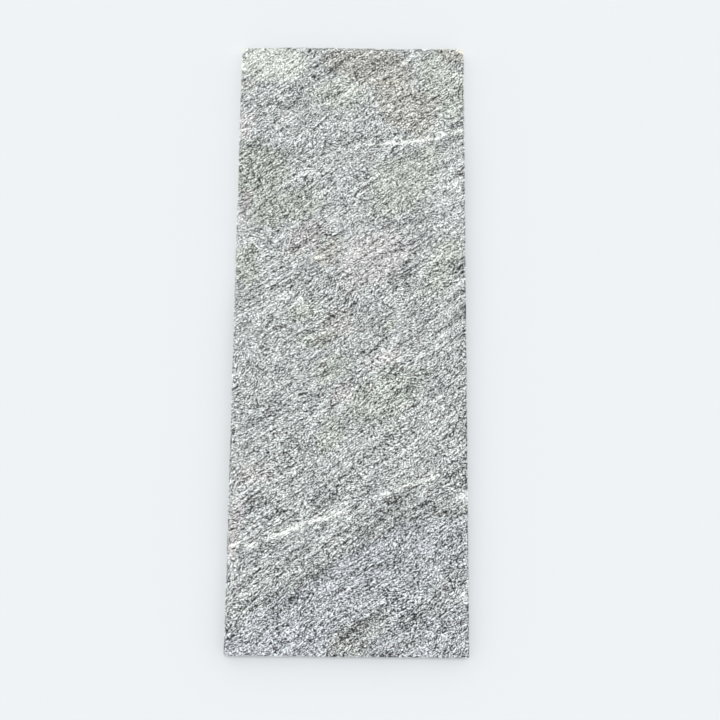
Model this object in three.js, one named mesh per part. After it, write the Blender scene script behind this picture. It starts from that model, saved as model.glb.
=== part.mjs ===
// A natural stone floor slab: one rectangular piece of layered gneiss, lying with its walking face up.
// The four edge faces and the underside are sawn flat. The walking face is rough: low ridges run
// across it with the layers of the stone, its rim is worn down unevenly, and its corners are blunted.
//
// Millimetres. +X is across the slab, +Y along it and +Z up. The origin is the middle of the underside.

import * as THREE from "three";
import { mergeVertices } from "three/addons/utils/BufferGeometryUtils.js";

// Driving dimensions.
const WIDTH = 300;
const LENGTH = 800;
const THICKNESS = 20; // from the underside to the mean level of the walking face

// The layers of the stone show on the walking face as lines at this angle, from +X towards +Y.
const LAYERS_DEG = 36;

// Low ridges of the walking face: sine waves from the shortest to the longest wavelength. Their
// crests fan out up to this far either side of the layers, and their sum has this height on average.
const RIDGES = { count: 10, shortest: 36, longest: 190, fanDeg: 14, height: 0.42 };
const RIDGE_GROWTH = 0.7; // a wave's height grows with its wavelength to this power

// The worn rim: how deep it is at the edge, how far that varies either way, and how wide it is.
const RIM = { depth: 1.1, varies: 0.6, width: 6 };

// Each corner, as the signs of its X and Y: how deep it is worn at its tip, and how far that reaches.
const CORNERS = [
  { x: -1, y: 1, depth: 2, reach: 13 },
  { x: 1, y: 1, depth: 2.6, reach: 15 },
  { x: 1, y: -1, depth: 0.9, reach: 8 },
  { x: -1, y: -1, depth: 1.1, reach: 8 },
];
const CORNER_RADIUS = 1.5; // of the outline, seen from above

const SAWN_ARRIS = 0.5; // the small chamfer round the underside

// Mesh lines: the distances of the first ones from an edge, and about how far apart the rest are.
const RIM_LINES = [0, 1.2, 3, 6];
const CELL = 11.5;

const GOLDEN_ANGLE = Math.PI * (3 - Math.sqrt(5)); // spreads directions and phases without repeats

const halfWidth = WIDTH / 2;
const halfLength = LENGTH / 2;

// Where the mesh lines cross one axis, from -half to +half: close together along both edges, and
// evenly spaced in between.
function linesAcross(half) {
  const rim = RIM_LINES.map((distance) => distance - half);
  const start = rim.at(-1);
  const cells = Math.round((-2 * start) / CELL);
  const inner = Array.from({ length: cells - 1 }, (_, i) => start * (1 - (2 * (i + 1)) / cells));
  return [...rim, ...inner, ...rim.map((at) => -at).reverse()];
}

// Height of the ridges above the mean level of the walking face.
function ridges(x, y) {
  let height = 0;
  let power = 0;
  for (let k = 0; k < RIDGES.count; k++) {
    const wavelength =
      RIDGES.shortest * (RIDGES.longest / RIDGES.shortest) ** (k / (RIDGES.count - 1));
    const fan = RIDGES.fanDeg * Math.sin(GOLDEN_ANGLE * (k + 1));
    const across = THREE.MathUtils.degToRad(LAYERS_DEG + 90 + fan);
    const distance = x * Math.cos(across) + y * Math.sin(across);
    const share = (wavelength / RIDGES.longest) ** RIDGE_GROWTH;
    height += share * Math.sin((2 * Math.PI * distance) / wavelength + GOLDEN_ANGLE * k * k);
    power += share ** 2 / 2;
  }
  return (RIDGES.height * height) / Math.sqrt(power);
}

// How far the rim and the corners are worn down at a point of the walking face.
function wear(x, y) {
  const fromEdge = Math.min(halfWidth - Math.abs(x), halfLength - Math.abs(y));
  const uneven =
    Math.sin(0.21 * x + 0.17 * y) + Math.sin(0.083 * x - 0.071 * y + 2) + Math.sin(0.031 * (x + y));
  const rim = RIM.depth + (RIM.varies * uneven) / 3;
  let worn = rim * Math.max(0, 1 - fromEdge / RIM.width) ** 2;
  for (const corner of CORNERS) {
    const away = Math.hypot(corner.x * halfWidth - x, corner.y * halfLength - y);
    worn += corner.depth * Math.max(0, 1 - away / corner.reach) ** 1.5;
  }
  return worn;
}

// A point of the rectangle, pulled onto the rounded corner if it lies past it.
function roundedOutline(x, y) {
  const centreX = Math.sign(x) * (halfWidth - CORNER_RADIUS);
  const centreY = Math.sign(y) * (halfLength - CORNER_RADIUS);
  const past = new THREE.Vector2(x - centreX, y - centreY);
  const inCorner = past.x * x > 0 && past.y * y > 0;
  if (!inCorner || past.length() <= CORNER_RADIUS) return [x, y];
  past.setLength(CORNER_RADIUS);
  return [centreX + past.x, centreY + past.y];
}

function walkingFacePoint(x, y) {
  return new THREE.Vector3(...roundedOutline(x, y), THICKNESS + ridges(x, y) - wear(x, y));
}

// The outline of the slab as mesh points, anticlockwise from above, starting at the front left corner.
function outline(xLines, yLines) {
  const front = xLines.slice(0, -1).map((x) => [x, -halfLength]);
  const right = yLines.slice(0, -1).map((y) => [halfWidth, y]);
  return [...front, ...right, ...[...front, ...right].map(([x, y]) => [-x, -y])];
}

function slabGeometry() {
  const xLines = linesAcross(halfWidth);
  const yLines = linesAcross(halfLength);
  const corners = [];
  const addQuad = (a, b, c, d) => corners.push(a, b, c, a, c, d); // anticlockwise from outside

  for (let i = 0; i + 1 < xLines.length; i++) {
    for (let j = 0; j + 1 < yLines.length; j++) {
      const [x0, x1, y0, y1] = [xLines[i], xLines[i + 1], yLines[j], yLines[j + 1]];
      addQuad(
        walkingFacePoint(x0, y0),
        walkingFacePoint(x1, y0),
        walkingFacePoint(x1, y1),
        walkingFacePoint(x0, y1),
      );
    }
  }

  // The edge faces hang from the rim in two bands: the flat sawn face, then the chamfer under it.
  const rim = outline(xLines, yLines);
  const insetX = 1 - SAWN_ARRIS / halfWidth;
  const insetY = 1 - SAWN_ARRIS / halfLength;
  const bands = [
    rim.map(([x, y]) => walkingFacePoint(x, y)),
    rim.map(([x, y]) => new THREE.Vector3(...roundedOutline(x, y), SAWN_ARRIS)),
    rim.map(([x, y]) => {
      const [footX, footY] = roundedOutline(x, y);
      return new THREE.Vector3(footX * insetX, footY * insetY, 0);
    }),
  ];
  for (let band = 0; band + 1 < bands.length; band++) {
    const [upper, lower] = [bands[band], bands[band + 1]];
    for (let i = 0; i < rim.length; i++) {
      const next = (i + 1) % rim.length;
      addQuad(upper[i], lower[i], lower[next], upper[next]);
    }
  }

  // The underside is one flat face inside the chamfer.
  const foot = bands.at(-1);
  for (const [a, b, c] of THREE.ShapeUtils.triangulateShape(foot, [])) {
    corners.push(foot[a], foot[c], foot[b]);
  }

  return mergeVertices(new THREE.BufferGeometry().setFromPoints(corners), 1e-3);
}

const stone = new THREE.MeshStandardMaterial({ color: 0xb3b7b5, roughness: 0.85, metalness: 0 });

const slab = new THREE.Mesh(slabGeometry(), stone);
slab.name = "stone_slab";

const floorSlab = new THREE.Group();
floorSlab.add(slab);

export default floorSlab;
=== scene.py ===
"""The looks of a natural stone floor slab: grey layered gneiss with a rough walking face, on a pale floor.

Shapes are worked out in millimetres and go into the mesh in metres. +X is across the slab, +Y along it and
+Z up. The origin is the middle of the underside.
"""

import math

import bpy
import numpy as np
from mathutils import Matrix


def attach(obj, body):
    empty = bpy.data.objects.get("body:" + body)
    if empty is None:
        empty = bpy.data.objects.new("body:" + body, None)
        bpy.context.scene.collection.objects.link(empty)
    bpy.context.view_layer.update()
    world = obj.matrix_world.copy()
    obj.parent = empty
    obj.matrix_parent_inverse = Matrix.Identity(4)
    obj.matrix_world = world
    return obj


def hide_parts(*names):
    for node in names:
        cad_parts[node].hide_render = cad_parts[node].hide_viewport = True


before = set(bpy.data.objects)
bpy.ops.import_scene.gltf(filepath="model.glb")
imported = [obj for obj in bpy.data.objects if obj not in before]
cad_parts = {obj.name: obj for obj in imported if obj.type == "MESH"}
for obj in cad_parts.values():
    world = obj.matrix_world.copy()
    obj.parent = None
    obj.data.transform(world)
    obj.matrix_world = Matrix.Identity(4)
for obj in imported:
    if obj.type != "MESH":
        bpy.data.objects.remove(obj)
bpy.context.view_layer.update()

# ---------------------------------------------------------------- sizes, in millimetres and degrees

MILLIMETRES = 1000.0  # in a metre

WIDTH, LENGTH, THICKNESS = 300.0, 800.0, 20.0
HALF = np.array([WIDTH / 2, LENGTH / 2])
HIGHEST = 20.88  # no point of the walking face stands above this
PRESSED = 0.3  # points above HIGHEST less this are pressed down towards it
CORNER_RADIUS = 1.5  # of the outline, seen from above
SAWN_ARRIS = 0.5  # the small chamfer round the underside

LAYERS_DEG = 36.0  # the layers' line on the walking face, from +X towards +Y
DIP_DEG = 55.0  # how steeply the layers go down into the stone

# The ridges of the walking face: how many waves, the shortest and the longest of them, how far their crests
# turn from the layers, the power of its length that a wave's height grows with, and their height on average.
RIDGES, SHORTEST, LONGEST = 10, 36, 190
RIDGE_FAN_DEG, RIDGE_GROWTH, RIDGE_HEIGHT = 14, 0.7, 0.42
GOLDEN_ANGLE = math.pi * (3 - math.sqrt(5))  # spreads directions and phases without repeats

# The worn rim: its depth at the edge, how much each of three waves changes that, and its width.
RIM_DEPTH, RIM_VARIES, RIM_WIDTH = 1.1, 0.2, 6

# Each corner, as the signs of its x and y: how deep it is worn at its tip, and how far that reaches.
CORNERS = [(-1, 1, 2, 13), (1, 1, 2.6, 15), (1, -1, 0.9, 8), (-1, -1, 1.1, 8)]

# The bites out of the rim where a broad pattern rises above BITES_ABOVE: how wide and deep they are.
BITE_WIDTH, BITE_DEPTH, BITES_ABOVE = 11, 3.5, 0.62

# The mesh: cells of the walking face across and along, how many of those along each edge are 1 mm wide, the
# levels of the edge faces, and how many cells of the walking face go to one of the underside.
CELLS = (176, 460)
RIM_CELLS = 8
SIDE_LEVELS = 9
COARSER = 4
FOOT_INSET = 3.0  # from the edges to the outermost cells of the underside


# ---------------------------------------------------------------- random patterns on arrays

LATTICE = 512  # a pattern repeats after this many of its cells


def value_noise(x, y, seed):
    """A random level from -1 to 1 at each whole-number point, blended between the four round (x, y)
    with the weight 3t^2 - 2t^3 each way."""
    lattice = np.random.default_rng(seed).uniform(-1, 1, (LATTICE, LATTICE))
    column, row = np.floor(x).astype(int), np.floor(y).astype(int)
    tx, ty = x - column, y - row
    tx, ty = tx * tx * (3 - 2 * tx), ty * ty * (3 - 2 * ty)

    def level(column, row):
        return lattice[column % LATTICE, row % LATTICE]

    near = level(column, row) * (1 - tx) + level(column + 1, row) * tx
    far = level(column, row + 1) * (1 - tx) + level(column + 1, row + 1) * tx
    return near * (1 - ty) + far * ty


def crumbs(x, y, seed):
    """Broken grains: one seed point lies at random in each unit square, and (x, y) takes the level of the
    nearest one, from -1 to 1, plus that grain's own tilt times the way from the seed to (x, y)."""
    rng = np.random.default_rng(seed)
    seed_x, seed_y, level, tilt_x, tilt_y = rng.uniform(0, 1, (5, LATTICE, LATTICE))
    nearest = np.full(x.shape, np.inf)
    height = np.zeros(x.shape)
    for step_x in (-1, 0, 1):
        for step_y in (-1, 0, 1):
            column, row = np.floor(x).astype(int) + step_x, np.floor(y).astype(int) + step_y
            cell = (column % LATTICE, row % LATTICE)
            away_x, away_y = x - column - seed_x[cell], y - row - seed_y[cell]
            away = away_x**2 + away_y**2
            tilt = 1.6 * ((tilt_x[cell] - 0.5) * away_x + (tilt_y[cell] - 0.5) * away_y)
            height = np.where(away < nearest, 2 * level[cell] - 1 + tilt, height)
            nearest = np.minimum(away, nearest)
    return height


def along_layers(x, y):
    """(x, y) turned so that the first number runs along the layers and the second across them."""
    turn = math.radians(LAYERS_DEG)
    return x * math.cos(turn) + y * math.sin(turn), y * math.cos(turn) - x * math.sin(turn)


# ---------------------------------------------------------------- the slab's shape

# The roughness of the split face. Each row is a pattern, its height either way, its length along the layers,
# its width across them and its seed.
ROUGHNESS = [
    (value_noise, 0.16, 26, 7, 21),  # long low steps
    (value_noise, 0.14, 11, 3.6, 22),  # short flakes
    (crumbs, 0.16, 6.5, 3.4, 23),  # coarse broken grain
    (crumbs, 0.12, 3.4, 2.2, 24),  # fine broken grain
]


def ridges(x, y):
    """Ten sine waves from 36 to 190 mm long, each a constant ratio longer than the last, with crests within
    14 degrees of the layers and heights that grow as length^0.7; together 0.42 mm high on average."""
    height, power = 0, 0
    for k in range(RIDGES):
        wavelength = SHORTEST * (LONGEST / SHORTEST) ** (k / (RIDGES - 1))
        across = math.radians(LAYERS_DEG + 90 + RIDGE_FAN_DEG * math.sin(GOLDEN_ANGLE * (k + 1)))
        distance = x * math.cos(across) + y * math.sin(across)
        share = (wavelength / LONGEST) ** RIDGE_GROWTH
        height = height + share * np.sin(2 * math.pi * distance / wavelength + GOLDEN_ANGLE * k * k)
        power += share**2 / 2
    return RIDGE_HEIGHT * height / math.sqrt(power)


def rim_wear(x, y):
    """Depth worn off near the edges: a parabola that falls to nothing 6 mm in, deeper and shallower along
    the edge by three sine waves, plus a cusp at each corner that falls as (1 - distance / reach)^1.5."""
    from_edge = np.minimum(HALF[0] - abs(x), HALF[1] - abs(y))
    uneven = np.sin(0.21 * x + 0.17 * y) + np.sin(0.083 * x - 0.071 * y + 2) + np.sin(0.031 * (x + y))
    worn = (RIM_DEPTH + RIM_VARIES * uneven) * np.maximum(0, 1 - from_edge / RIM_WIDTH) ** 2
    for side, end, depth, reach in CORNERS:
        away = np.hypot(side * HALF[0] - x, end * HALF[1] - y)
        worn += depth * np.maximum(0, 1 - away / reach) ** 1.5
    return worn


def grain_relief(x, y):
    """The sum of the patterns of ROUGHNESS at (x, y) turned to the layers, which waves 9 mm wide bend by up
    to 1.5 mm."""
    along, across = along_layers(x, y)
    along = along + 1.5 * value_noise(x / 9, y / 9, seed=11)
    across = across + 1.5 * value_noise(x / 9 + 40, y / 9, seed=12)
    return sum(
        height * pattern(along / length, across / width, seed)
        for pattern, height, length, width, seed in ROUGHNESS
    )


def bites(x, y):
    """How far the broken rim lies inside the sawn edge: up to 0.65 mm by two fine patterns, plus BITE_DEPTH
    times what the broad pattern has above BITES_ABOVE."""
    fine = value_noise(x / 3.1, y / 3.1, seed=31), value_noise(x / 1.6, y / 1.6, seed=32)
    ragged = np.maximum(0, 0.1 + 0.3 * fine[0] + 0.25 * fine[1])
    broad = value_noise(x / BITE_WIDTH, y / BITE_WIDTH, seed=33)
    return ragged + BITE_DEPTH * np.maximum(0, broad - BITES_ABOVE)


def round_corners(x, y):
    """Each corner square of the plan, CORNER_RADIUS wide, squeezed into a quarter disc: a point keeps its
    direction from the square's inner corner, and its larger coordinate becomes its distance."""
    centre = HALF - CORNER_RADIUS
    past_x, past_y = np.maximum(abs(x) - centre[0], 0), np.maximum(abs(y) - centre[1], 0)
    squeeze = np.maximum(past_x, past_y) / np.maximum(np.hypot(past_x, past_y), 1e-9)
    squeeze = np.where((past_x > 0) & (past_y > 0), squeeze, 1)
    return (
        np.sign(x) * (np.minimum(abs(x), centre[0]) + past_x * squeeze),
        np.sign(y) * (np.minimum(abs(y), centre[1]) + past_y * squeeze),
    )


def pull_in(x, y, amount):
    """(x, y) moved straight in from the edges by amount, which fades as exp(-distance / 2.5) from each
    edge."""
    return (
        x - np.sign(x) * amount * np.exp(-(HALF[0] - abs(x)) / 2.5),
        y - np.sign(y) * amount * np.exp(-(HALF[1] - abs(y)) / 2.5),
    )


def grid_lines(half, cells):
    """cells + 1 lines from -half to half: 1 mm apart along both edges and evenly spaced in between."""
    inner = np.linspace(RIM_CELLS - half, half - RIM_CELLS, cells - 2 * RIM_CELLS + 1)
    rim = half - RIM_CELLS + np.arange(1, RIM_CELLS + 1)
    return np.concatenate([-rim[::-1], inner, rim])


def walking_face(x, y):
    """Points of the walking face over the plan points (x, y): just under the mean level, plus ridges and
    grain relief, which is halved at the edges as exp(-distance / 2), less the worn rim. What stands above
    HIGHEST - PRESSED is pressed down towards HIGHEST as tanh."""
    from_edge = np.minimum(HALF[0] - abs(x), HALF[1] - abs(y))
    grain = (1 - 0.5 * np.exp(-from_edge / 2)) * grain_relief(x, y)
    z = THICKNESS - 0.1 + ridges(x, y) + grain - rim_wear(x, y)
    proud = np.maximum(0, z - (HIGHEST - PRESSED))
    z = z - proud + PRESSED * np.tanh(proud / PRESSED)
    plan = round_corners(*pull_in(x, y, bites(x, y)))
    return np.stack([*plan, z], -1)


def border(grid):
    """The points round a grid[across, along], anticlockwise from above, from the front left corner."""
    return np.concatenate([grid[:-1, 0], grid[-1, :-1], grid[:0:-1, -1], grid[0, :0:-1]])


def edge_faces(x, y, rim):
    """Levels of points under the rim: each comes down evenly from the rim's own height to the arris over
    the underside, and out from the broken rim to the sawn face as 1 - exp(-depth / 2), with faint saw
    marks up to 0.1 mm deep."""
    depth = np.linspace(0, 1, SIDE_LEVELS + 1)[1:, None] ** 1.25
    z = rim[:, 2] + (SAWN_ARRIS - rim[:, 2]) * depth
    reach = np.exp(-(rim[:, 2] - z) / 2)
    marks = 0.05 * (1 + value_noise((x + 2 * y) / 40, z / 0.9, seed=41))
    sawn_x, sawn_y = round_corners(*pull_in(x, y, marks))
    return np.stack(
        [rim[:, 0] * reach + sawn_x * (1 - reach), rim[:, 1] * reach + sawn_y * (1 - reach), z], -1
    )


def quads(index):
    """The four corners of each cell of a grid of point numbers, anticlockwise where the rows run along +X
    and the columns along +Y."""
    cells = np.stack([index[:-1, :-1], index[1:, :-1], index[1:, 1:], index[:-1, 1:]], -1)
    return cells.reshape(-1, 4)


def slab_mesh():
    """One closed surface: the walking face as a grid, the edge faces as rings that hang from its border,
    and the underside as a coarser grid. A strip of seven-sided faces joins the last ring to the underside,
    COARSER points to one."""
    lines = [grid_lines(half, cells) for half, cells in zip(HALF, CELLS)]
    x, y = np.meshgrid(*lines, indexing="ij")
    rim_x, rim_y = border(x), border(y)
    foot_x, foot_y = round_corners(*np.meshgrid(*[line[::COARSER] for line in lines], indexing="ij"))
    ledge_x, ledge_y = round_corners(rim_x, rim_y)

    top = walking_face(x, y)
    sides = edge_faces(rim_x, rim_y, border(top))
    inset = 1 - FOOT_INSET / HALF
    foot = np.stack([foot_x * inset[0], foot_y * inset[1], 0 * foot_x], -1)
    inset = 1 - SAWN_ARRIS / HALF
    ledge = np.stack([ledge_x * inset[0], ledge_y * inset[1], 0 * ledge_x], -1)

    numbered = 0
    indices = []
    for part in (top, sides, foot, ledge):
        count = part[..., 0].size
        indices.append(numbered + np.arange(count).reshape(part.shape[:-1]))
        numbered += count
    top_index, side_index, foot_index, ledge_index = indices

    rings = np.vstack([border(top_index), side_index, ledge_index])
    closed = np.hstack([rings, rings[:, :1]])
    outer, inner = closed[-1], border(foot_index)
    shared = [outer[COARSER - k :: COARSER][: len(inner)] for k in range(COARSER + 1)]
    strip = np.stack([inner, np.roll(inner, -1), *shared], -1)

    faces = [quads(top_index), quads(closed[::-1].T), strip, quads(foot_index)[:, ::-1]]
    points = np.vstack([part.reshape(-1, 3) for part in (top, sides, foot, ledge)])
    return points, faces


# The sheet for the bake is one unit wide and high: the margin, where the walking face and the underside
# start from below, how high the underside is, and how far apart and how high the rows of edge faces are.
MARGIN = 0.002
TOP_FROM, UNDERSIDE_FROM, UNDERSIDE_HIGH = 0.304, 0.095, 0.2
EDGE_ROW, EDGE_HIGH = 0.03, 0.026


def bake_layout(corners):
    """Where each face corner lies on the sheet, given the corners' places, one array for each kind of
    face. The two halves of the walking face stand side by side. Under them lie the underside, then the
    long edge faces in a row each, and the two short ones in a row together."""
    top, edges, *underneath = corners
    row_width = 1 - 2 * MARGIN

    x, y = top[..., 0], top[..., 1]
    far = y.mean(1, keepdims=True) > 0
    across = MARGIN + (0.5 - MARGIN) * (x / WIDTH + 0.5) + 0.5 * far
    up = TOP_FROM + (1 - MARGIN - TOP_FROM) * (y / HALF[1] + 1 - far)
    sheet = [np.stack([across, up], -1)]

    x, y, z = edges[..., 0], edges[..., 1], edges[..., 2]
    x_mid, y_mid = x.mean(1, keepdims=True), y.mean(1, keepdims=True)
    short = HALF[1] - abs(y_mid) < HALF[0] - abs(x_mid)
    start = np.where(short, (x + HALF[0]) / LENGTH + 0.5 * (y_mid > 0), y / LENGTH + 0.5)
    row = np.where(short, 2, x_mid > 0)
    up = MARGIN + EDGE_ROW * row + EDGE_HIGH * z / HIGHEST
    sheet.append(np.stack([MARGIN + row_width * start, up], -1))

    for part in underneath:
        across = MARGIN + row_width * (part[..., 1] / LENGTH + 0.5)
        up = UNDERSIDE_FROM + UNDERSIDE_HIGH * (part[..., 0] / WIDTH + 0.5)
        sheet.append(np.stack([across, up], -1))
    return sheet


def wear_and_painted_highlight(points):
    """How pale the worn rim looks at each point, partly as worn stone and partly as a painted highlight
    where light
    from the far end catches the arris: the depth worn off the rim there, which fades as exp(-distance) from
    1 mm under the worn face downwards, times a share that grows from 0.1 at the near end to 0.5 at the far
    one."""
    x, y, z = points.T
    worn = rim_wear(x, y)
    return worn * (np.exp(-np.maximum(0, THICKNESS - 1 - worn - z)) * (0.3 + 0.2 * y / HALF[1]))


points, faces = slab_mesh()
mesh = bpy.data.meshes.new("gneiss_slab")
mesh.from_pydata((points / MILLIMETRES).tolist(), [], [face for part in faces for face in part.tolist()])
mesh.shade_smooth()
mesh.set_sharp_from_angle(angle=math.radians(55))
layout = np.concatenate([part.reshape(-1, 2) for part in bake_layout([points[part] for part in faces])])
mesh.uv_layers.new(name="OFBake").data.foreach_set("uv", layout.astype(np.float32).ravel())

walked = np.zeros(len(points))  # 1 on the walking face
walked[: (CELLS[0] + 1) * (CELLS[1] + 1)] = 1
# The "worn" level is the rim's paleness: worn stone together with a painted highlight towards the far end.
for name, level in (("walked", walked), ("worn", wear_and_painted_highlight(points))):
    mesh.attributes.new(name, "FLOAT", "POINT").data.foreach_set("value", level.astype(np.float32))

slab = bpy.data.objects.new("gneiss_slab", mesh)
bpy.context.scene.collection.objects.link(slab)


# ---------------------------------------------------------------- materials


class Socket:
    """An output of a material's nodes. Arithmetic on a number adds Math nodes."""

    def __init__(self, shader, socket):
        self.shader, self.socket = shader, socket

    def other(self, name):
        """Another output of the same node."""
        return Socket(self.shader, self.socket.node.outputs[name])

    def maths(self, operation, *numbers):
        return self.shader.add("Math", {"operation": operation}, dict(enumerate(numbers)))

    def at_least(self, low):
        return self.maths("MAXIMUM", self, low)

    def exp(self):
        return self.maths("EXPONENT", self)

    def between(self, low, high):
        """0 at low and below, 1 at high and above, and 3t^2 - 2t^3 in between."""
        span = {"Value": self, "From Min": low, "From Max": high}
        return self.shader.add("MapRange", {"interpolation_type": "SMOOTHSTEP"}, span)

    def __add__(self, other):
        return self.maths("ADD", self, other)

    def __sub__(self, other):
        return self.maths("SUBTRACT", self, other)

    def __rsub__(self, other):
        return self.maths("SUBTRACT", other, self)

    def __mul__(self, other):
        return self.maths("MULTIPLY", self, other)

    def __truediv__(self, other):
        return self.maths("DIVIDE", self, other)

    def __pow__(self, other):
        return self.maths("POWER", self, other)

    def __abs__(self):
        return self.maths("ABSOLUTE", self)

    __radd__, __rmul__ = __add__, __mul__


class Shader:
    """A material whose nodes are added one by one."""

    def __init__(self, name):
        self.material = bpy.data.materials.new(name)
        self.material.use_nodes = True
        self.tree = self.material.node_tree
        self.tree.nodes.clear()

    def add(self, kind, settings=None, sockets=None, output=0):
        """A node of this kind, with its settings made first, then the values or links of its sockets."""
        node = self.tree.nodes.new("ShaderNode" + kind)
        for name, value in (settings or {}).items():
            if name == "stops":
                self.set_stops(node.color_ramp, value)
            else:
                setattr(node, name, value)
        for name, value in (sockets or {}).items():
            if isinstance(value, Socket):
                self.tree.links.new(value.socket, node.inputs[name])
            else:
                node.inputs[name].default_value = value
        return Socket(self, node.outputs[output]) if node.outputs else None

    def set_stops(self, ramp, stops):
        """Gives a ramp these (place, grey level) stops."""
        while len(ramp.elements) < len(stops):
            ramp.elements.new(1)
        for element, (place, level) in zip(ramp.elements, stops):
            element.position = place
            element.color = (level, level, level, 1)

    def finish(self, sockets):
        """The material, with these values or links on its surface."""
        self.add("OutputMaterial", {}, {"Surface": self.add("BsdfPrincipled", {}, sockets)})
        return self.material


def radians(*degrees):
    return tuple(math.radians(angle) for angle in degrees)


EXPOSURE = 1.56  # how bright the lights make a white face, which the stone's colour is divided by
GAMMA = 2.2  # from the tone that the eye sees to the colour of the light

# The fabric of the stone. A size is how far a grain or a wave reaches along the layers, down their dip and
# across them, in millimetres.
GRAIN = (1.3, 0.55, 0.34)  # of mica, quartz or feldspar
BROKEN_GRAIN = (2.2, 1.7, 1.2)  # that catches the light
STREAKS = [((24, 9, 1.3), 0.125), ((45, 24, 2.6), 0.065), ((80, 50, 6), 0.035)]  # with their strength
TINTS = (50, 40, 22)  # broad waves of colour

# The tone of a grain by its kind, from dark mica to pale quartz, and where the usual mixture lies.
MINERALS = [(0.42, 0.0), (0.48, 0.02), (0.51, 1.18), (0.58, 1.2)]
USUAL_MIXTURE = 0.178

# The quartz veins, from left to right: where each point of a vein lies, and how thick it is there.
VEINS = [
    [  # across the far right
        (-16, 245, 0), (-11, 247.5, 1.2), (8, 257, 2.4), (12, 259, 0), (17, 262, 2), (43, 262, 2.6),
        (46, 265, 3), (64, 264.5, 5.5), (85, 268.5, 5.5), (99, 271, 4.6), (106, 270, 2.6),
        (113, 272, 4.5), (119, 276, 7), (124, 278, 3), (127, 278, 0), (131, 277, 0), (133, 278, 2.5),
        (143, 282, 3), (150, 284, 1.5),
    ],
    [  # across the near half
        (-150, -268, 2.4), (-139, -264, 3.4), (-132, -262, 1), (-126, -264.5, 3.6), (-112, -264.5, 5),
        (-105, -261, 2.8), (-94, -255, 2.8), (-84, -251, 4.4), (-72, -247, 5.6), (-60, -241.5, 4.8),
        (-52, -237.5, 3.4), (-43, -234.5, 4.6), (-35, -232.5, 4), (-27, -231.7, 3.4), (-20, -229, 2.6),
        (-10, -224.7, 3.2), (-1, -223, 2.6), (6, -220, 0), (37, -204, 0), (44, -201, 4), (60, -197, 4.4),
        (67, -192.5, 3.8), (80, -187.5, 2), (90, -186, 4.8), (105, -179.5, 5), (113, -177, 2),
        (118, -175.5, 0), (127, -174, 0.4), (144, -168, 0.5), (150, -166, 0.3),
    ],
    [  # a hairline over its left end
        (-134, -262, 0), (-128, -254, 1.5), (-122, -245, 2.4), (-113, -238.6, 1.8), (-105, -235, 1.2),
        (-100, -233, 0),
    ],
    [  # a hairline over its right end
        (56, -160, 0), (65, -152, 1.2), (74, -142, 2.2), (87, -133, 2), (100, -124, 1.4), (108, -119, 0),
    ],
]

# The seam, from left to right. Below it the stone is bluer, and just above it there is a dark band.
SEAM = [(-150, -366), (-71, -324), (-3, -276), (51, -248), (67, -238), (102, -232), (150, -226)]

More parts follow.
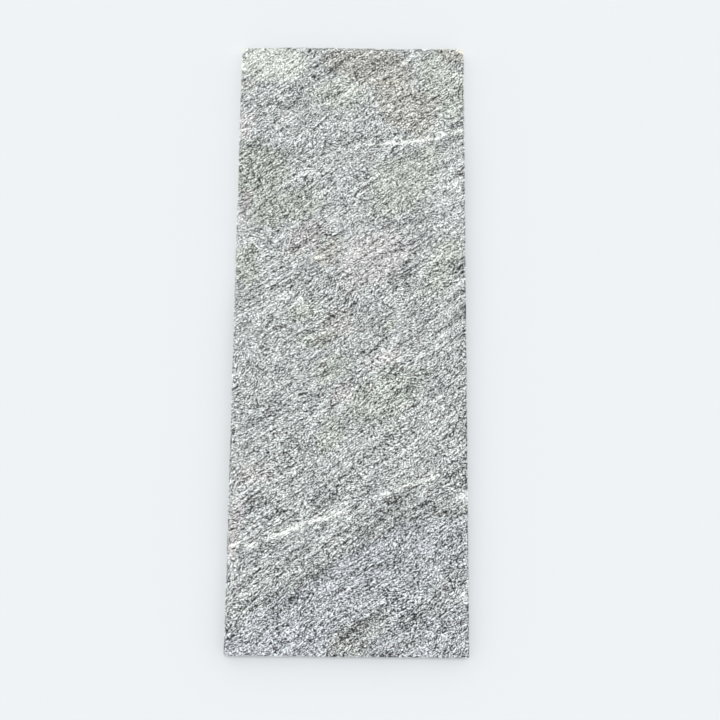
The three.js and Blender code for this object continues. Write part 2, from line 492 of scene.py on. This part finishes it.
# Soft patches of the stone: the middle in x and y, the angle, half the length and half the width, and
# what each adds to the share of pale grains, to the redness and to the blueness.
GREEN, BROWN, PINK = (-0.006, -0.033), (0.025, -0.03), (0.03, 0.006)
PATCHES = [
    # pale streaks and areas
    (-138, 340, 0, 12, 12, 0.05, 0.012, -0.012),
    (-112, 336, 10, 24, 15, 0.05, 0, 0),
    (-64, 222, 32, 20, 5, 0.1, 0, 0),
    (129, 202, 36, 20, 20, 0.07, 0, 0),
    (-84, 51, 36, 8, 6, 0.2, 0, 0),
    (-131, -354, 33, 12, 6, 0.15, 0, 0),
    (140, -202, 0, 11, 8, 0.1, 0, 0),
    (-80, -388, 15, 62, 20, 0.02, -0.005, 0.005),
    (111, -251, 16, 35, 15, 0.03, 0, 0),
    (100, -385, 20, 34, 11, 0.05, 0, 0),
    (2, -392, 0, 10, 8, 0.09, 0, 0),
    (140, -214, 0, 14, 9, 0.12, 0, 0),
    (147, -322, 90, 16, 6, 0.1, 0, 0),
    (-24, 159, 36, 11, 7, 0.09, 0, 0),
    # dark streaks and areas
    (-66, 332, 0, 22, 14, -0.02, 0, 0),
    (140, 98, 50, 13, 8, -0.1, 0, 0),
    (62, 74, 38, 34, 6, -0.05, 0, 0),
    (26, 16, 39, 30, 5, -0.06, 0, 0),
    (138, 28, 41, 24, 5, -0.12, 0, 0),
    (-43, 79, 36, 15, 5, -0.1, 0, 0),
    (56, -213, 43, 33, 8, -0.13, 0, 0),
    (115, -209, 12, 38, 10, -0.05, 0, 0),
    (-27, -295, 32, 17, 6, -0.08, 0, 0),
    (-63, -331, 30, 17, 5, -0.08, 0, 0),
    (-139, -376, 41, 14, 6, -0.08, 0, 0),
    (84, -350, 23, 26, 13, -0.05, 0, 0),
    (127, -321, 51, 30, 18, -0.02, 0, -0.02),
    (18, -372, 36, 40, 16, -0.07, 0, -0.03),
    (41, -392, 0, 12, 8, -0.09, 0, 0),
    (136, -182, 20, 18, 8, -0.12, 0, 0),
    (42, -132, 36, 16, 10, -0.09, 0, 0),
    (-121, -212, 60, 18, 11, -0.09, 0, 0),
    (-91, -346, 36, 12, 7, -0.09, 0, 0),
    (-26, -207, 20, 26, 8, -0.07, 0, 0),
    (144, -99, 90, 12, 6, -0.09, 0, 0),
    # stains
    (-108, 377, 0, 45, 24, 0.12, *GREEN),
    (24, 374, -8, 56, 24, -0.04, *BROWN),
    (72, 318, -40, 46, 28, 0, *BROWN),
    (140, 392, -10, 24, 10, 0.02, *BROWN),
    (122, 346, -76, 46, 26, 0.01, *GREEN),
    (-14, 332, 0, 34, 20, 0.04, *GREEN),
    (-143, 285, 90, 20, 7, 0.06, *PINK),
    (-121, 224, 0, 34, 42, -0.04, *GREEN),
    (-84, 174, 14, 46, 20, -0.02, *GREEN),
    (-132, 95, 80, 28, 13, -0.02, *GREEN),
    (-138, 178, 80, 18, 9, 0, *PINK),
    (70, 211, 48, 58, 32, 0.01, *GREEN),
    (-60, 130, 48, 28, 14, 0, *PINK),
    (-29, 114, 51, 20, 13, 0, *BROWN),
    (30, 104, 38, 48, 33, 0, *PINK),
    (122, 97, 70, 36, 18, 0, *GREEN),
    (-18, 19, 37, 26, 17, -0.03, 0.022, -0.01),
    (-60, 33, 12, 20, 9, 0.04, *GREEN),
    (-42, -4, 10, 20, 10, -0.02, *GREEN),
    (53, 15, 17, 10, 9, 0.04, *GREEN),
    (46, -75, 31, 48, 28, -0.02, *GREEN),
    (-25, -128, 57, 24, 16, -0.01, *GREEN),
    (-17, -40, 37, 24, 15, -0.01, *GREEN),
    (45, -30, 14, 22, 10, 0.06, *PINK),
    (-7, -74, 33, 15, 10, 0.03, *PINK),
    (-116, -176, 11, 20, 12, 0, *PINK),
    (-143, -247, 85, 36, 10, 0.02, *PINK),
]


class Stone(Shader):
    """A layered stone. Its patterns are worked out inside it, in millimetres, so they go on over every
    face."""

    def __init__(self, name):
        super().__init__(name)
        coordinates = self.add("TexCoord", output="Object")
        self.place = self.add("VectorMath", {"operation": "SCALE"}, {0: coordinates, "Scale": MILLIMETRES})
        turn = {"Vector": self.bent(90, 8), "Rotation": radians(0, 0, -LAYERS_DEG)}
        dip = {"Vector": self.add("Mapping", {}, turn), "Rotation": radians(90 - DIP_DEG, 0, 0)}
        self.layered = self.add("Mapping", {}, dip)

        self.x = self.add("SeparateXYZ", {}, {"Vector": self.place})
        # The y at which the layer through a point meets the walking face, for points lower on the edges.
        self.level_y = self.x.other("Y") + (THICKNESS - self.x.other("Z")) * 0.7

        self.walked = self.add("Attribute", {"attribute_name": "walked"}, output="Fac")
        # The rim's paleness, part wear and part painted highlight.
        self.worn = self.add("Attribute", {"attribute_name": "worn"}, output="Fac")

    def bent(self, size, reach):
        """The place, moved by reach each way on average, and by up to about reach more or less in waves of
        this size."""
        wave = self.add("TexNoise", {}, {"Vector": self.place, "Scale": 1 / size, "Detail": 1.0}, "Color")
        bend = {0: wave, 1: 3 * [2.0 * reach], 2: self.place}
        return self.add("VectorMath", {"operation": "MULTIPLY_ADD"}, bend)

    def stretched(self, size):
        along, down, through = size
        shrink = {0: self.layered, 1: (1 / along, 1 / through, 1 / down)}
        return self.add("VectorMath", {"operation": "MULTIPLY"}, shrink)

    def noise(self, size, detail=2.0):
        """A noise from about -1 to 1."""
        sockets = {"Vector": self.stretched(size), "Scale": 1.0, "Detail": detail, "Roughness": 0.5}
        return self.add("TexNoise", {}, sockets) * 4 - 2

    def grains(self, size):
        """Two random levels of each grain, from 0 to 1."""
        cells = self.add("TexVoronoi", {}, {"Vector": self.stretched(size), "Scale": 1.0}, "Color")
        levels = self.add("SeparateColor", {}, {"Color": cells})
        return levels, levels.other("Green")

    def follow(self, points):
        """The number that goes with x on the line through the points, given (x, number) in order of x."""
        numbers = [number for _, number in points]
        low, span = min(numbers), max(numbers) - min(numbers)
        stops = [(x / WIDTH + 0.5, (number - low) / span) for x, number in points]
        return self.add("ValToRGB", {"stops": stops}, {"Fac": self.x / WIDTH + 0.5}) * span + low

    def with_patches(self, mixture, red, blue):
        """The mixture of grains, the redness and the blueness, with what each patch adds to them."""
        reach = 14
        spread = self.bent(28, reach)
        for x, y, angle, length, width, paler, redder, bluer in PATCHES:
            spot = {"Vector": spread, "Location": (x + reach, y + reach, 0), "Scale": (length, width, 1e6)}
            spot["Rotation"] = radians(0, 0, angle)
            centred = self.add("Mapping", {"vector_type": "TEXTURE"}, spot)
            away = self.add("VectorMath", {"operation": "LENGTH"}, {0: centred}, "Value")
            strength = away.between(1.35, 0.75)
            mixture = mixture + paler * strength if paler else mixture
            red = red + redder * strength if redder else red
            blue = blue + bluer * strength if bluer else blue
        return mixture, red, blue

    def with_seam(self, mixture, blue):
        """The mixture of grains and the blueness, with a darker and bluer stone below the seam and a dark
        band over it, which is strongest from 3 to 8 mm above it."""
        above = self.level_y - self.follow(SEAM) + 4 * self.noise((30, 14, 6), 1.0)
        below = above.between(5, -5)
        band = above.between(-8, 3) * above.between(26, 8)
        return mixture - 0.03 * below - 0.07 * band, blue + 0.026 * below

    def quartz(self):
        """1 in the veins and 0 outside them. A point is in a vein where it is nearer to the vein's line than
        half its thickness there. The line wavers, and the outline is broken and soft."""
        wavering = 0.9 * self.noise((6, 5, 4)) + 0.8 * self.noise((1.8, 1.6, 1.2))
        broken = self.noise((5, 3, 3), 1.0)
        quartz = 0.0
        for vein in VEINS:
            thick = self.follow([(x, thickness) for x, _, thickness in vein])
            off = abs(self.level_y - self.follow([(x, line) for x, line, _ in vein]) + wavering)
            inside = (0.5 * thick - off + 2 * broken).between(-1.8, 1.4)
            quartz = quartz + inside * thick.between(0, 1.2)
        return quartz


def gneiss():
    """Layered gneiss. The mixture of dark and pale grains follows streaks and bands along the layers, the
    soft patches, the seam, the quartz veins and the worn rim, and so do the redness and the blueness. The
    rim's paleness is partly worn stone and partly a painted highlight, and a thin painted shade runs down
    the right edge."""
    stone = Stone("gneiss")

    # How pale the stone is on the whole: 0 keeps the usual mixture of grains, and less or more gives
    # darker or paler ones.
    mixture = sum(strength * stone.noise(size, 0.0) for size, strength in STREAKS)
    tint = stone.noise(TINTS, 3.0)
    red, blue = 0.003 * tint - 0.025, -0.006 * tint - 0.0105
    mixture, red, blue = stone.with_patches(mixture, red, blue)
    mixture, blue = stone.with_seam(mixture, blue)

    # The veins are paler and warmer. The worn rim is paler and warmer too: partly worn stone, partly a
    # painted highlight where light from the far end catches the arris. The last millimetres on the right are
    # darker, a painted shade.
    quartz = stone.quartz()
    rim = stone.worn.between(0.2, 0.9)
    # Painted shade: a thin darker band along the right edge, where that side of the arris turns from the
    # light.
    right_edge_painted_shade = stone.x.between(146.5, 148.5)
    mixture = mixture + 0.29 * quartz + 0.65 * rim - 0.035 * right_edge_painted_shade
    red, blue = red + 0.01 * quartz + 0.02 * rim, blue - 0.01 * quartz - 0.03 * rim

    # Tone, from 0 black to 1 white as the eye sees it. The sawn faces have less contrast and are darker.
    kind, shade = stone.grains(GRAIN)
    scale = {"Fac": USUAL_MIXTURE + 0.5 * (kind + mixture)}
    rough_face = stone.add("ValToRGB", {"stops": MINERALS}, scale) + 0.1 * (shade - 0.5) - 0.2 * rim
    sawn_face = 0.64 + 0.7 * (rough_face - 0.7)
    tone = sawn_face + stone.walked * (rough_face - sawn_face)

    def channel(tinge):
        return (tone + tinge).at_least(0.1) ** GAMMA / EXPOSURE

    channels = {"Red": channel(red), "Green": channel(0.0), "Blue": channel(blue)}

    _, level = stone.grains(BROKEN_GRAIN)
    height = 0.5 * level + 0.35 * stone.noise((0.9, 0.8, 0.6)) + 0.3 * stone.noise((7, 4, 2), 1.0)
    height = height * (0.15 + 0.85 * stone.walked)
    relief = {"Height": height, "Strength": 0.6, "Distance": 0.5 / MILLIMETRES}
    return stone.finish(
        {
            "Base Color": stone.add("CombineColor", {}, channels),
            "Roughness": 0.82 + 0.12 * (shade - 0.5) - 0.15 * (1 - stone.walked),
            "Normal": stone.add("Bump", {}, relief, "Normal"),
        }
    )


PAINTED_LIGHT = 0.13  # painted light: how much paler the floor is painted beside the far left of the slab, over its contact shadow
PAINTED_LIGHT_FADES = 13  # and over how many millimetres from the slab that fades


def floor_with_painted_light(colour, roughness):
    """A floor of one colour, with painted light beside the far left of the slab: it is made paler there,
    which hides much of the slab's contact shadow. The painted light fades as exp(-distance / the fade length
    above) from the slab's outline, and to nothing from the line y = 0.72 x + 213 down to the line
    y = 0.72 x + 108."""
    floor = Shader("floor_with_painted_light")
    coordinates = floor.add("TexCoord", output="Object")
    place = floor.add("SeparateXYZ", {}, {"Vector": coordinates})
    x, y = place * MILLIMETRES, place.other("Y") * MILLIMETRES
    past_x, past_y = (abs(x) - HALF[0]).at_least(0), (abs(y) - HALF[1]).at_least(0)
    near = (-1 / PAINTED_LIGHT_FADES * (past_x**2 + past_y**2) ** 0.5).exp()
    # Painted light: the floor's colour is scaled up near the slab's far left, where its contact shadow
    # falls.
    painted_light_scale = 1 + PAINTED_LIGHT * near * (y - 0.72 * x).between(108, 213)
    shade = floor.add("VectorMath", {"operation": "SCALE"}, {0: colour, "Scale": painted_light_scale})
    return floor.finish({"Base Color": shade, "Roughness": roughness})


mesh.materials.append(gneiss())
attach(slab, "root")
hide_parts("stone_slab")


# ---------------------------------------------------------------- floor, lights and camera

FLOOR_HALF = 12  # metres

floor_mesh = bpy.data.meshes.new("floor")
floor_corners = [(x * FLOOR_HALF, y * FLOOR_HALF, 0) for x, y in ((-1, -1), (1, -1), (1, 1), (-1, 1))]
floor_mesh.from_pydata(floor_corners, [], [(0, 1, 2, 3)])
floor_mesh.materials.append(floor_with_painted_light(colour=(0.581, 0.598, 0.611), roughness=0.9))
floor = bpy.data.objects.new("floor", floor_mesh)
bpy.context.scene.collection.objects.link(floor)

world = bpy.data.worlds.new("soft_room")
world.use_nodes = True
world.node_tree.nodes["Background"].inputs["Color"].default_value = (0.974, 0.9875, 1.0, 1)
world.node_tree.nodes["Background"].inputs["Strength"].default_value = 0.93
bpy.context.scene.world = world

# A broad soft lamp high above, tipped a little towards the far end.
sun = bpy.data.lights.new("overhead", "SUN")
sun.energy = 1.78
sun.angle = math.radians(18)
overhead = bpy.data.objects.new("overhead", sun)
overhead.rotation_euler = radians(-6, -0.5, 0)
bpy.context.scene.collection.objects.link(overhead)

camera_data = bpy.data.cameras.new("camera")
camera_data.lens = 59.1
camera_data.sensor_width = 36
camera = bpy.data.objects.new("camera", camera_data)
camera.location = (0.0173, -0.3258, 1.5051)
camera.rotation_mode = "YXZ"
camera.rotation_euler = radians(11.252, 0.053, 0.478)
bpy.context.scene.collection.objects.link(camera)
bpy.context.scene.camera = camera
bpy.context.scene.view_settings.view_transform = "Standard"
